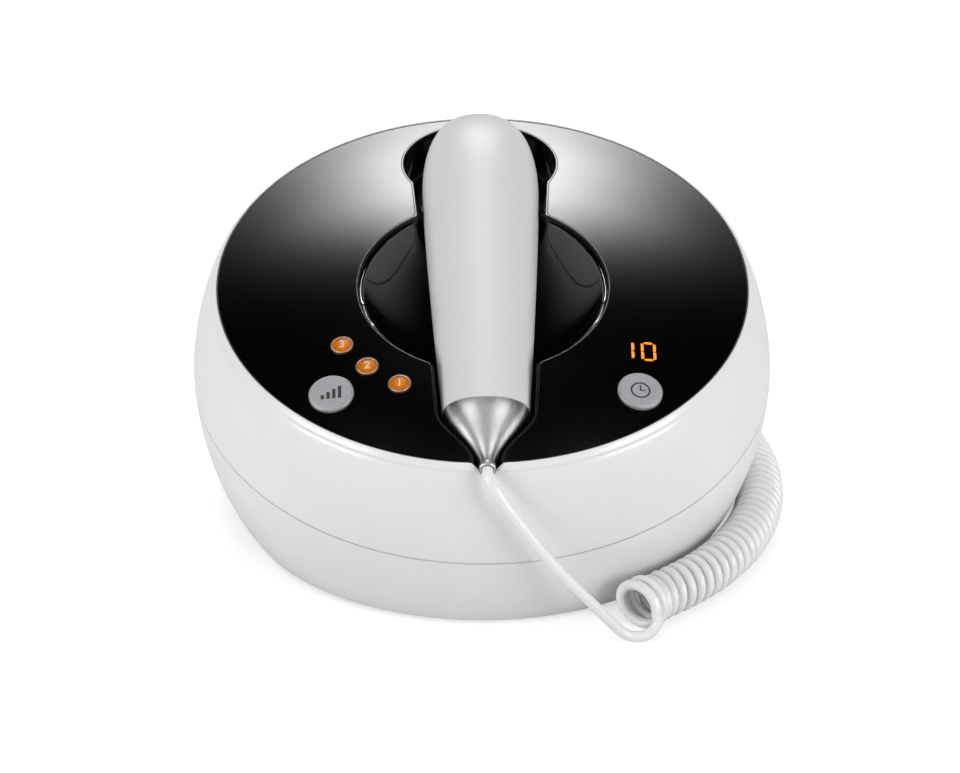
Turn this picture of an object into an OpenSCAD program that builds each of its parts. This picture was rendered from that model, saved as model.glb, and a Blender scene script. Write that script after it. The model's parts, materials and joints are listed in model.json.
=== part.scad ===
// Facial toning device: a tilted round base with a domed control panel, and a
// corded handpiece that lies in the cradle across the panel.
//
// Two frames are used. The world frame has the floor at z = 0 and the front at -y.
// The panel frame has its z axis along the panel's normal, its origin at the centre
// of the panel's edge, and leans forward by panel_tilt. tilted() enters it.

/* [Panel and rim] */
// Diameter of the black panel
panel_d = 160; // [150:1:170]
// Forward lean of the panel
panel_tilt = 14; // [12:0.5:15]
// Height of the panel's centre above the floor
panel_h = 80; // [78:0.5:84]
// Radius of the panel's domed top
dome_r = 360; // [330:5:420]
// Thickness of the panel
panel_t = 2.2; // [1.8:0.1:2.6]
// Width of the ledge that carries the panel
ledge_w = 4; // [3:0.5:5]
// Gap between the panel and the rim
panel_gap = 0.2; // [0.1:0.05:0.4]

/* [Shells] */
// Largest radius of the shells
girth_r = 88.5; // [87:0.5:92]
// Depth of the largest radius below the panel's edge
girth_z = 31; // [28:1:34]
// Depth of the seam between the shells
seam_z = 33; // [32:0.5:36]
// Roundness of the shoulder, 2 is an ellipse
shoulder_exp = 1.5; // [1.3:0.05:2]
// Radius that the wall of the lower shell curves in towards
belly_r = 59; // [55:1:62]
// Depth that the wall of the lower shell curves down towards
belly_z = 88; // [86:1:92]
// Roundness of the lower wall, 2 is an ellipse
belly_exp = 1.89; // [1.8:0.01:2.1]
// Depth where the wall turns under into the bottom
turn_z = 68; // [66:0.5:70]
// Radius of that turn
turn_r = 10; // [8:0.5:12]
// Steepness of the underside behind the turn
under_angle = 65; // [58:1:68]
// Thickness of the shell walls
wall = 2.4; // [2:0.1:3]
// Height that the rubber feet lift the lower shell
foot_lift = 1; // [0.6:0.1:1.5]

/* [Cradle] */
// Radius of the pocket for the treatment head
pocket_r = 23.9; // [23:0.1:25]
// Distance of the pocket behind the panel's centre
pocket_y = 52.8; // [51:0.2:54]
// Radius of the finger dish
dish_r = 37.6; // [35:0.2:40]
// Distance of the finger dish in front of the panel's centre
dish_y = 9; // [7:0.5:11]
// Depth of the finger dish below the panel's edge
dish_depth = 14; // [12:0.5:16]
// Half width of the channel at the pocket
channel_w0 = 20.9; // [20:0.1:22]
// Half width of the channel where it begins to close
channel_w1 = 14.5; // [14:0.1:15.5]
// Half width of the channel at the rim
channel_w2 = 4.1; // [3.8:0.1:4.6]
// Depth of the channel below the panel's edge
channel_depth = 10; // [9.6:0.2:11]
// Thickness of the cradle's walls
tray_wall = 1.8; // [1.5:0.1:2.2]
// Width of the cradle's flange under the panel
tray_flange = 3; // [2:0.5:4]

/* [Controls] */
// Diameter of the two buttons
button_d = 13.4; // [12:0.2:15]
// Distance of the buttons from the panel's centre
button_r = 69.4; // [68:0.2:70]
// Angle of the buttons from the front
button_a = 40.7; // [38:0.1:44]
// Height of the buttons above the panel
button_proud = 0.8; // [0.7:0.1:1.2]
// Travel of the buttons
button_travel = 0.5; // [0.3:0.1:0.6]
// Gap round the buttons
button_gap = 0.2; // [0.1:0.05:0.3]
// Diameter of the level lenses
lens_d = 6; // [5:0.2:7]
// Width of the ring round each lens
lens_ring = 0.5; // [0.3:0.1:0.8]
// Distance of the lenses' circle inside the buttons' circle
lens_back = 14; // [13:0.2:16]
// Distance that each lens lies nearer the panel's centre than the one before
lens_skew = 1.3; // [0:0.1:1.6]
// Angle of the middle lens from the front
lens_a = 38.8; // [38:0.1:41]
// Angle between two lenses
lens_step = 12.4; // [11:0.1:14]
// Distance of the display's circle inside the buttons' circle
display_back = 9.9; // [9:0.1:11]
// Angle of the display from the front
display_a = 52.3; // [50:0.1:54]
// Depth of the control board below the panel's edge
board_z = 14; // [13.5:0.5:16]

/* [Handpiece] */
// Half width of the handle at its head
head_w = 17.9; // [17:0.1:18.5]
// Half width of the handle at the cone
tail_w = 12.8; // [12:0.1:13.2]
// Height of the head above the parting line
head_top = 14; // [12:0.5:15]
// Height of the tail above the parting line
tail_top = 7.4; // [7:0.2:8]
// Depth of the grip below the parting line
grip_bottom = 8.6; // [8:0.2:9]
// Depth of the tail below the parting line
tail_bottom = 7; // [6.6:0.2:7.4]
// Depth of the head below the parting line
head_bottom = 13.4; // [13:0.2:13.8]
// Wall of the handle shells
handle_wall = 1.8; // [1.5:0.1:2.2]
// Length of the metal cone
cone_l = 20; // [18:0.5:21]
// Radius of the treatment head's ring
bezel_r = 16; // [15:0.2:16.4]
// Width of that ring
bezel_w = 2; // [1.6:0.1:2.4]
// Distance of the treatment face behind the panel's centre
face_y = 50; // [49:0.2:51]
// Depth of the ring's rim below the panel's edge
face_z = 12; // [11.6:0.1:12.6]
// Diameter of one electrode
electrode_d = 5; // [4:0.2:5.4]
// Diameter of the circle of electrodes
electrode_pcd = 18; // [17:0.5:19]
// Number of electrodes round the middle one
electrode_count = 6; // [4:1:6]

/* [Cord] */
// Diameter of the cord
cord_d = 3.2; // [3:0.1:3.6]
// Outer diameter of the coiled part
coil_d = 14.8; // [14:0.2:15.2]

/* [Rear] */
// Distance of the flat behind which the sockets are mounted
rear_y = 86; // [85:0.5:86.5]
// Height of the sockets' centre line above the floor
rear_z = 49; // [48:0.5:50]
// Width of the rear flat
rear_w = 58; // [56:1:60]
// Height of the rear flat
rear_h = 22; // [20:1:24]
// Sideways place of the power inlet
inlet_x = -18; // [-20:0.5:-17]
// Bore of the power inlet
inlet_bore = 5.6; // [5.5:0.1:6]
// Diameter of the power inlet's centre pin
inlet_pin = 2.1; // [2.0:0.1:2.5]
// Sideways place of the power switch
rocker_x = 2; // [0:0.5:3]
// Width of the rocker
rocker_w = 8; // [7:0.5:9]
// Height of the rocker
rocker_h = 14; // [12:0.5:15]
// Half of the rocker's swing
rocker_swing = 8; // [6:1:9]
// Sideways place of the cord gland
gland_x = 21; // [19:0.5:22]

/* [Hidden] */

$fn = 96;
big = 400;
rest_gap = 0.3;        // what the handpiece keeps from its rests
fit_gap = 0.05;        // running clearance of pins and plungers

panel_r = panel_d / 2;
rim_r = panel_r + panel_gap + 0.2;
lens_r = button_r - lens_back;
display_r = button_r - display_back;
dome_base = sqrt(pow(dome_r, 2) - pow(panel_r, 2));   // dome centre below the panel's edge
panel_bottom = -(panel_t + 0.4);                      // the panel's flat rim rests here

function dome_z(r, sink = 0) = sqrt(pow(dome_r - sink, 2) - r * r) - dome_base;
function smooth(t) = let (c = min(1, max(0, t))) c * c * (3 - 2 * c);
function polar(r, a) = [r * sin(a), -r * cos(a)];
function last(v) = v[len(v) - 1];

// ---------------------------------------------------------------- shell profile
// Half outline of both shells in the panel frame, as [radius, z], from the rim down.
shoulder = [for (a = [90:-6:0])
  [rim_r + (girth_r - rim_r) * pow(cos(a), 2 / shoulder_exp),
   -girth_z + girth_z * pow(sin(a), 2 / shoulder_exp)]];
// The lower wall is a superellipse down to turn_z.
function wall_r(z) =
  belly_r + (girth_r - belly_r)
  * pow(1 - pow((z - girth_z) / (belly_z - girth_z), belly_exp), 1 / belly_exp);
lower_wall = [for (i = [1:10]) let (z = girth_z + (turn_z - girth_z) * i / 10) [wall_r(z), -z]];
// The turn is an arc that leaves the wall smoothly and ends at under_angle.
turn_from = atan((wall_r(turn_z - 1) - wall_r(turn_z + 1)) / 2);
turn_c = last(lower_wall) - turn_r * [cos(turn_from), -sin(turn_from)];
turn = [for (i = [1:6]) let (a = turn_from + (under_angle - turn_from) * i / 6)
  turn_c + turn_r * [cos(a), -sin(a)]];
under = last(turn) + 60 * [-sin(under_angle), -cos(under_angle)];
outline = concat(shoulder, lower_wall, turn, [under]);
// The same outline moved inwards by t along its normals.
function inset(pts, t) = [for (i = [0:len(pts) - 1])
  let (
    d = pts[min(len(pts) - 1, i + 1)] - pts[max(0, i - 1)],
    n = [-d[1], d[0]] / norm(d)
  )
  pts[i] - t * n];

// The world's y axis passes midway between the shells' front and back.
function lean_y(r, z) = r * cos(panel_tilt) - z * sin(panel_tilt);
axis_y = -(max([for (p = outline) lean_y(p[0], p[1])])
         + min([for (p = outline) lean_y(-p[0], p[1])])) / 2;

// A point of the panel frame in the world frame.
function world(p) = [
  p[0],
  axis_y + p[1] * cos(panel_tilt) - p[2] * sin(panel_tilt),
  panel_h + p[1] * sin(panel_tilt) + p[2] * cos(panel_tilt)
];
module tilted() translate([0, axis_y, panel_h]) rotate([panel_tilt, 0, 0]) children();

// Solid of revolution of an outline, closed to the axis at its first and last points.
module revolve(pts)
  rotate_extrude() polygon(concat([[0, pts[0][1]]], pts, [[0, last(pts)[1]]]));
module slab(z0, z1) translate([-big / 2, -big / 2, z0]) cube([big, big, z1 - z0]);

// ---------------------------------------------------------------- shells
boss_r = 74;                     // case screw bosses, distance from the panel's axis
boss_d = 8;
boss_angles = [28, 148, 212, 332];
screw_d = 3;
head_d = 5.6;
screw_seat = seam_z + 12;        // where a case screw's head seats
bottom_t = wall;                 // thickness of the floor plate
foot_d = 11;
foot_t = 2.2;
foot_places = [[38, -46], [-38, -46], [32, 30], [-32, 30]];
tongue_t = 1;
tongue_h = 2;
seam_gap = 0.15;
standoff_places = [[-40, -22], [40, -22], [-40, 26], [40, 26]];
standoff_h = 6;
main_board_t = 1.6;
main_board_z = foot_lift + bottom_t + standoff_h;
rear_wall = 2.5;

module outer_body() tilted() revolve(outline);
module inner_body(t) tilted() revolve(inset(outline, t));
module rear_box(grow, y0) {
  translate([-rear_w / 2 - grow, y0, rear_z - rear_h / 2 - grow])
    cube([rear_w + 2 * grow, 20, rear_h + 2 * grow]);
}
module at_bosses(z) for (a = boss_angles) rotate([0, 0, a]) translate([0, -boss_r, z]) children();

module lower_shell() color("white") difference() {
  union() {
    difference() {
      intersection() {
        outer_body();
        slab(foot_lift, big);
        tilted() slab(-big, -seam_z);
      }
      difference() {
        inner_body(wall);
        slab(-big, foot_lift + bottom_t);
      }
    }
    // flat that carries the sockets
    intersection() {
      outer_body();
      slab(foot_lift, big);
      tilted() slab(-big, -seam_z);
      rear_box(rear_wall, rear_y - rear_wall);
    }
    // tongue that centres the upper shell
    tilted() difference() {
      union() {
        intersection() {
          revolve(inset(outline, wall - 0.1));
          slab(-seam_z - 3, -seam_z);
        }
        intersection() {
          revolve(inset(outline, wall + seam_gap));
          slab(-seam_z - 1, -seam_z + tongue_h);
        }
      }
      revolve(inset(outline, wall + tongue_t));
    }
    // bosses for the case screws
    intersection() {
      outer_body();
      slab(foot_lift, big);
      tilted() at_bosses(-big / 2) cylinder(d = boss_d, h = big / 2 - seam_z);
    }
    // standoffs of the main board
    for (p = standoff_places) translate([p[0], p[1], foot_lift + bottom_t - 0.5])
      cylinder(d = 6, h = standoff_h + 0.5, $fn = 32);
  }
  rear_box(0, rear_y);
  // wells and holes of the case screws
  tilted() at_bosses(-big / 2) {
    cylinder(d = head_d + 0.4, h = big / 2 - screw_seat, $fn = 32);
    cylinder(d = screw_d + 0.4, h = big / 2, $fn = 32);
  }
  // recesses of the feet
  for (p = foot_places) translate([p[0], p[1], 0]) cylinder(d = foot_d, h = foot_t);
  // holes for what is mounted in the rear flat
  translate([inlet_x, rear_y + 1, rear_z]) rotate([90, 0, 0]) cylinder(d = inlet_hole, h = 10);
  translate([rocker_x - cutout_w / 2, rear_y - 9, rear_z - cutout_h / 2])
    cube([cutout_w, 10, cutout_h]);
  translate([gland_x, rear_y + 1, rear_z]) rotate([90, 0, 0]) cylinder(d = gland_hole, h = 10);
  translate([gland_x, rear_y - rear_wall, rear_z]) rotate([90, 0, 0])
    cylinder(d = gland_nut + 0.4, h = 10);
}

tray_end_w = 17.4;               // half width that the cradle takes of the rear ledge
lip_top = 0.2;                   // rim above the panel's edge
notch_w = 11;                    // notch for the cone's tip, at the panel's edge
notch_r = 2.9;

// Cross-section of the notch that lets the cord out over the rim.
module notch_section() {
  translate([0, tip_z]) circle(r = notch_r);
  polygon([[-notch_w / 2, 2], [-notch_w / 2, -0.2], [-notch_r + 0.2, tip_z - 1],
           [notch_r - 0.2, tip_z - 1], [notch_w / 2, -0.2], [notch_w / 2, 2]]);
}

module upper_shell() color("white") tilted() difference() {
  union() {
    difference() {
      revolve(concat([[panel_r + panel_gap, lip_top], [rim_r - 0.1, lip_top]], shoulder,
                     lower_wall));
      revolve(inset(concat([[rim_r, 3]], shoulder, lower_wall), wall));
      slab(-big, -seam_z);
      translate([0, 0, panel_bottom - wall]) cylinder(r = panel_r + 0.1, h = big / 4);
    }
    // ledge under the panel, open where the cradle reaches the rim
    difference() {
      intersection() {
        revolve(concat([[rim_r, 0]], shoulder, lower_wall));
        slab(panel_bottom - wall, panel_bottom);
      }
      translate([0, 0, -big / 2]) cylinder(r = panel_r - ledge_w, h = big);
      translate([-tray_end_w, 0, -big / 2]) cube([2 * tray_end_w, big / 4, big]);
      translate([-channel_w2 - 4, -big / 4, -big / 2]) cube([2 * channel_w2 + 8, big / 4, big]);
    }
    // bosses that the case screws bite into
    difference() {
      at_bosses(-seam_z) cylinder(d = boss_d, h = seam_z + panel_bottom);
      at_bosses(-seam_z - 1) cylinder(d = screw_d - 0.4, h = 16, $fn = 32);
    }
    // webs from the bosses to the wall
    intersection() {
      at_bosses(-seam_z) translate([-0.8, -(girth_r - boss_r), tongue_h + 1])
        cube([1.6, girth_r - boss_r - boss_d / 2 + 0.5, seam_z + panel_bottom - tongue_h - 1]);
      revolve(concat([[rim_r, 0]], shoulder, lower_wall));
    }
  }
  translate([0, 0, panel_bottom]) cylinder(r = panel_r + panel_gap, h = 10);
  rotate([90, 0, 0]) linear_extrude(big / 4) notch_section();
}

module case_screws() color("silver") tilted() at_bosses(0) {
  translate([0, 0, -screw_seat]) cylinder(d = screw_d - 0.4, h = screw_seat - seam_z + 14, $fn = 32);
  difference() {
    translate([0, 0, -screw_seat - 2]) cylinder(d = head_d, h = 2, $fn = 32);
    for (a = [0, 90]) rotate([0, 0, a])
      translate([-1.6, -0.3, -screw_seat - 3]) cube([3.2, 0.6, 2]);
  }
}

module rubber_feet() color("dimgray")
  for (p = foot_places) translate([p[0], p[1], 0]) rotate_extrude()
    polygon([[0, 0], [foot_d / 2 - 0.9, 0], [foot_d / 2 - 0.1, 0.6], [foot_d / 2 - 0.1, foot_t],
             [0, foot_t]]);

// ---------------------------------------------------------------- panel and cradle
close_y = -61.5;                 // where the channel begins to close
close_l = 18;                    // length over which it closes
neck_y = 42;                     // where the channel leaves the pocket
nose_depth = 6.2;                // depth of the cradle's front end
nose_y = close_y - 12;
saddle_y = -48;
saddle_w = 8;
well_r = 13.4;                   // well under the electrodes
well_z = 17;
tray_gap = 0.1;                  // what the cradle keeps from the panel above it
dish_rim = dome_z(dish_y, panel_t);      // height at which the dish meets the panel
bowl_r = (pow(dish_r, 2) + pow(dish_depth + dish_rim, 2)) / (2 * (dish_depth + dish_rim));

function channel_w(y) = y > close_y
  ? channel_w1 + (channel_w0 - channel_w1) * (y - close_y) / (neck_y - close_y)
  : channel_w1 + (channel_w2 - channel_w1) * smooth((close_y - y) / close_l);

// Plan of the channel, from y0 to the neck, wider by grow on each side.
module channel_plan(grow, y0) {
  ys = concat([neck_y, close_y], [for (i = [1:9]) close_y - close_l * i / 9]);
  side = concat([for (y = ys) if (y > y0) [channel_w(y) + grow, y]],
                [[channel_w(y0) + grow, y0]]);
  polygon(concat(side, [for (i = [len(side) - 1:-1:0]) [-side[i][0], side[i][1]]]));
}
module opening_plan(grow, y0) {
  translate([0, pocket_y]) circle(r = pocket_r + grow);
  translate([0, -dish_y]) circle(r = dish_r + grow);
  channel_plan(grow, y0);
}

module dome_solid(sink) translate([0, 0, -dome_base]) sphere(r = dome_r - sink, $fn = 200);
module dome_cap(sink, r, z) intersection() {
  dome_solid(sink);
  translate([0, 0, z]) cylinder(r = r, h = 40, $fn = 200);
}

post_places = [[62, 22], [66, 66], [62, -22], [66, -66]];   // distance and angle of each post
post_d = 5;
post_bore = 1.8;
module at_posts(z) for (p = post_places) translate(concat(polar(p[0], p[1]), z)) children();

module top_panel() color([0.03, 0.03, 0.035]) tilted() difference() {
  union() {
    difference() {
      dome_cap(0, panel_r, panel_bottom);
      dome_cap(panel_t, panel_r - ledge_w, panel_bottom - 1);
    }
    // posts that carry the control board
    intersection() {
      at_posts(-board_z) cylinder(d = post_d, h = board_z + 10, $fn = 32);
      dome_solid(panel_t / 2);
    }
  }
  translate([0, 0, -10]) linear_extrude(30) opening_plan(0, -panel_r - 1);
  for (s = [-1, 1]) translate(concat(polar(button_r, s * button_a), -10))
    cylinder(r = button_d / 2 + button_gap, h = 30);
  at_lenses() translate([0, 0, -10]) cylinder(d = lens_d + 2 * lens_ring, h = 30, $fn = 48);
  at_posts(-board_z - 1) cylinder(d = post_bore, h = 9, $fn = 32);
}

// Hollow of the cradle, or its outside when grown by the wall.
module cradle_hollow(grow) {
  // pocket, with a well under the electrodes
  translate([0, pocket_y, -face_z - rest_gap - grow]) cylinder(r = pocket_r + grow, h = 40);
  translate([0, face_y, -well_z - grow]) cylinder(r = well_r + grow, h = 40);
  // channel with a round bottom
  intersection() {
    translate([0, 0, -40]) linear_extrude(80) channel_plan(grow, nose_y - grow);
    union() {
      translate([0, pocket_y, channel_w0 + 1 - channel_depth]) rotate([90, 0, 0])
        cylinder(r = channel_w0 + 1 + grow, h = pocket_y - nose_y + grow);
      slab(channel_w0 + 1 - channel_depth, 40);
    }
  }
  // front end, closing in on the cone
  translate([0, 0, -nose_depth + tray_wall - grow]) linear_extrude(40)
    channel_plan(grow, -panel_r - 2);
  // finger dish
  translate([0, -dish_y, bowl_r - dish_depth]) sphere(r = bowl_r + grow, $fn = 128);
}

module cradle_tray() color([0.05, 0.05, 0.055]) tilted() difference() {
  intersection() {
    union() {
      cradle_hollow(tray_wall);
      // flange under the panel
      difference() {
        translate([0, 0, -20]) linear_extrude(40) opening_plan(tray_flange, -panel_r);
        dome_solid(panel_t + 1.6);
      }
    }
    dome_solid(panel_t + tray_gap);
    translate([0, 0, -40]) cylinder(r = panel_r - 0.3, h = 80);
  }
  // seat of the panel's rim
  difference() {
    translate([0, 0, panel_bottom - tray_gap]) cylinder(r = panel_r + 5, h = 40);
    translate([0, 0, -40]) cylinder(r = panel_r - ledge_w - 2 * tray_gap, h = 80);
  }
  difference() {
    cradle_hollow(0);
    // saddle under the tail
    translate([-saddle_w / 2, saddle_y - 1, -channel_depth - 1])
      cube([saddle_w, 2, 1 + channel_depth + handle_z(saddle_y - 1) - bottom_h(saddle_y)
                         - rest_gap]);
  }
}

// ---------------------------------------------------------------- controls
// Distance and angle of each lens
lens_places = [for (i = [-1:1]) [lens_r - i * lens_skew, lens_a + i * lens_step]];
lens_t = 3;
board_t = 1.6;
board_r0 = 44;
board_r1 = 74.5;
board_a = 70;
switch_w = 6;
switch_h = 8.6;
plunger_d = 3.4;
cap_z = -1.9;                    // underside of a button's cap
stem_z = -4;                     // underside of a button's stem
stem_d = 6;
display_w = 16;
display_l = 12;

// Draws its children on the dome, z along its normal and 0 at its surface.
module at_lenses() for (p = lens_places) rotate([0, 0, -p[1]])
  translate([0, -p[0], dome_z(p[0])]) rotate([asin(p[0] / dome_r), 0, 0]) children();

module level_lenses() color("orange") tilted() at_lenses() rotate_extrude($fn = 48)
  polygon([[0, -lens_t], [lens_d / 2, -lens_t], [lens_d / 2, 0.1], [0.4 * lens_d, 0.35],
           [0.2 * lens_d, 0.5], [0, 0.55]]);
module lens_rings() color("silver") tilted() at_lenses() rotate_extrude($fn = 48)
  translate([lens_d / 2, -panel_t]) square([lens_ring, panel_t + 0.3]);

module display_module() color("dimgray") tilted()
  translate(concat(polar(display_r, display_a) - [display_w / 2, display_l / 2], -board_z))
    cube([display_w, display_l, board_z + dome_z(display_r + 9.5, panel_t) - rest_gap]);

module control_board() color("darkgreen") tilted()
  translate([0, 0, -board_z - board_t]) linear_extrude(board_t) difference() {
    intersection() {
      circle(r = board_r1);
      polygon([[0, 0], [-big * sin(board_a), -big * cos(board_a)],
               [big * sin(board_a), -big * cos(board_a)]]);
    }
    circle(r = board_r0);
    for (a = boss_angles) rotate([0, 0, a]) translate([0, -boss_r]) circle(d = boss_d + 2);
    for (p = post_places) translate(polar(p[0], p[1])) circle(d = 2.4, $fn = 32);
  }

module at_buttons(z) for (s = [-1, 1]) translate(concat(polar(button_r, s * button_a), z)) children();
module at_button(s, z) translate(concat(polar(button_r, s * button_a), z)) children();

module tact_switches() color("dimgray") tilted() at_buttons(-board_z) difference() {
  translate([-switch_w / 2, -switch_w / 2, 0]) cube([switch_w, switch_w, switch_h]);
  translate([0, 0, 2]) cylinder(d = plunger_d + 2 * fit_gap, h = switch_h, $fn = 48);
}

module button(s) color("silver") tilted() {
  intersection() {
    at_button(s, cap_z) cylinder(d = button_d, h = 20);
    dome_solid(-button_proud);
  }
  at_button(s, stem_z) cylinder(d = stem_d, h = cap_z - stem_z);
  // lugs that catch under the panel
  rotate([0, 0, s * button_a]) translate([-button_d / 2 - 1, -button_r - 2, cap_z])
    cube([button_d + 2, 4, 1.1]);
}
module plunger(s) color("black") tilted()
  at_button(s, -board_z + 2 + button_travel + 0.3)
    cylinder(d = plunger_d, h = board_z - 2.3 - button_travel + stem_z, $fn = 48);
module level_button() button(-1);
module time_button() button(1);
module level_plunger() plunger(-1);
module time_plunger() plunger(1);

module indicator_leds() color("lightyellow") tilted()
  for (p = lens_places) translate(concat(polar(p[0], -p[1]), -board_z)) {
    translate([-2.5, -2.5, 0]) cube([5, 5, 1.6]);
    rotate_extrude($fn = 32) polygon([[0, 1.6], [2, 1.6], [2, 5.2], [1.4, 6.6], [0, 7.2]]);
  }

module board_screws() color("silver") tilted() at_posts(-board_z - board_t) {
  cylinder(d = post_bore - 0.02, h = 7, $fn = 32);
  translate([0, 0, -1.4]) cylinder(d = 3.8, h = 1.4, $fn = 32);
}

// ---------------------------------------------------------------- power board
main_board_w = 92;
main_board_l = 60;
main_board_y = 2;
board_top = main_board_z + main_board_t;

module main_board() color("darkgreen")
  translate([-main_board_w / 2, main_board_y - main_board_l / 2, main_board_z])
    cube([main_board_w, main_board_l, main_board_t]);

module rf_transformer() translate([24 - main_board_w / 2, 4, board_top]) {
  color("dimgray") difference() {
    translate([-13, -11, 0]) cube([26, 22, 22]);
    translate([-9, -12, 4]) cube([18, 24, 14]);
  }
  color("gold") translate([0, 0, 4]) cylinder(r = 8, h = 14);
}

module capacitors() color("midnightblue")
  for (p = [[40, 5], [27, 5], [14, 4]])
    translate([main_board_w / 2 - p[0], main_board_y + main_board_l / 2 - 14, board_top])
      cylinder(r = p[1], h = 18, $fn = 48);

module heat_sink() color("silver")
  translate([main_board_w / 2 - 40, main_board_y - main_board_l / 2 + 8, board_top]) {
  cube([34, 20, 3]);
  for (i = [0:5]) translate([i * 6.4, 0, 0]) cube([2, 20, 16]);
}

// ---------------------------------------------------------------- rear sockets
inlet_hole = 10;
inlet_depth = 10;
gland_hole = 8;
gland_nut = 10;
gland_l = 9;
cutout_w = rocker_w + 3.4;
cutout_h = rocker_h + 4;
pivot_d = 2;
pivot_y = rear_y - 1.9;
rocker_depth = 8;

// Draws its children with their z axis pointing out of the rear flat.
module on_rear(x) translate([x, rear_y, rear_z]) rotate([-90, 0, 0]) children();

module dc_inlet() color("dimgray") on_rear(inlet_x) difference() {
  union() {
    translate([0, 0, -14]) cylinder(d = inlet_hole, h = 14.5);
    cylinder(d = inlet_hole + 2.4, h = 1.4);
    translate([0, 0, -rear_wall - 2.5]) cylinder(d = inlet_hole + 3, h = 2.5, $fn = 6);
  }
  translate([0, 0, 1.4 - inlet_depth]) cylinder(d = inlet_bore, h = inlet_depth + 1);
}
module dc_pin() color("silver") on_rear(inlet_x)
  translate([0, 0, 1.4 - inlet_depth]) cylinder(d = inlet_pin, h = inlet_depth - 0.8, $fn = 48);

module rocker_housing() color("black") on_rear(rocker_x) difference() {
  union() {
    translate([-cutout_w / 2, -cutout_h / 2, -rocker_depth - 2])
      cube([cutout_w, cutout_h, rocker_depth + 2.5]);
    translate([-cutout_w / 2 - 1.4, -cutout_h / 2 - 1, 0]) cube([cutout_w + 2.8, cutout_h + 2, 1.4]);
    for (y = [-4, 4]) translate([-2.4, y - 0.4, -rocker_depth - 8]) cube([4.8, 0.8, 6.5]);
  }
  translate([-rocker_w / 2 - 0.2, -rocker_h / 2 - 0.5, -rocker_depth])
    cube([rocker_w + 0.4, rocker_h + 1, rocker_depth + 3]);
  translate([-cutout_w, 0, pivot_y - rear_y]) rotate([0, 90, 0])
    cylinder(d = pivot_d + 2 * fit_gap, h = 2 * cutout_w, $fn = 48);
}

// Side view of the rocker as [out, up] about its pivot: a shallow V with a blunt back.
rocker_side = [[3.2, rocker_h / 2], [1.8, 0], [3.2, -rocker_h / 2], [-1, -rocker_h / 2],
               [-4, -3], [-4, 3], [-1, rocker_h / 2]];
module power_rocker() color("black")
  translate([rocker_x, pivot_y, rear_z]) rotate([-rocker_swing, 0, 0]) {
    translate([-rocker_w / 2, 0, 0]) rotate([90, 0, 90]) linear_extrude(rocker_w)
      polygon(rocker_side);
    translate([-cutout_w / 2, 0, 0]) rotate([0, 90, 0])
      cylinder(d = pivot_d, h = cutout_w, $fn = 48);
  }

module cord_gland() color("white") on_rear(gland_x) {
  rotate_extrude() polygon([[0, -rear_wall - 3], [gland_nut / 2, -rear_wall - 3],
    [gland_nut / 2, -rear_wall], [gland_hole / 2, -rear_wall], [gland_hole / 2, 0], [5, 0], [5, 1.2], [3.8, 1.6],
    [cord_d / 2 + 0.6, gland_l], [0, gland_l]]);
}

// ---------------------------------------------------------------- handpiece
tip_z = -0.8;                    // centre of the cone's tip
tip_y = -80;
tip_r = 2.15;
handle_pitch = 2.5;              // rise of the handle's centre line to the rear
head_y = 36;                     // where the handle is widest
nose_l = 38.2;                    // length of the rounded end
tail_y = tip_y + cone_l;
section_n = 36;

function handle_z(y) = tip_z + (y - tip_y) * tan(handle_pitch);
// Share of the way from the head to the tail, 0 at the head.
function tail_t(y) = (head_y - y) / (head_y - tail_y);
// Share of the way along the rounded end of a shell whose wall is t thinner.
function nose_u(y, t) = min(1, max(0, (y - head_y) / (nose_l - t)));
function half_w(y, t = 0) = y < head_y
  ? head_w - t - (head_w - tail_w) * pow(tail_t(y), 1.25)
  : (head_w - t) * sqrt(1 - pow(nose_u(y, t), 2.3));
function top_h(y, t = 0) = y < head_y
  ? head_top - t - (head_top - tail_top) * tail_t(y)
  : (head_top - t) * pow(1 - pow(nose_u(y, t), 2), 0.75);
function bottom_h(y, t = 0) =
  (tail_bottom + (grip_bottom - tail_bottom) * smooth((y - tail_y) / 60)
   + (head_bottom - grip_bottom) * smooth((y - 29) / 11) - t)
  * sqrt(1 - pow(min(1, max(0, (y - face_y - 2) / (head_y + nose_l - t - face_y - 2))), 3));

function bend(c, e) = sign(c) * pow(abs(c), 2 / e);
function section(y, w, up, down) = [for (k = [0:section_n - 1])
  let (a = 360 * k / section_n, s = sin(a))
  [w * bend(cos(a), 2.3), y, handle_z(y) + (s > 0 ? up : down) * bend(s, 2.3)]];

// Solid through rings of equal length. head and tail list the faces that close the first
// and the last ring, and each ring is closed by one face where they are left out.
module loft(rings, head = [], tail = []) {
  n = len(rings[0]);
  m = len(rings);
  whole = [[for (k = [0:n - 1]) k]];
  polyhedron(
    points = [for (r = rings) each r],
    faces = concat(
      [for (c = len(head) > 0 ? head : whole) [for (k = [len(c) - 1:-1:0]) c[k]]],
      [for (i = [0:m - 2], k = [0:n - 1]) let (a = i * n + k, b = i * n + (k + 1) % n)
        [a, b, a + n]],
      [for (i = [0:m - 2], k = [0:n - 1]) let (a = i * n + k, b = i * n + (k + 1) % n)
        [b, b + n, a + n]],
      [for (c = len(tail) > 0 ? tail : whole) [for (k = c) (m - 1) * n + k]]));
}

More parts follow.
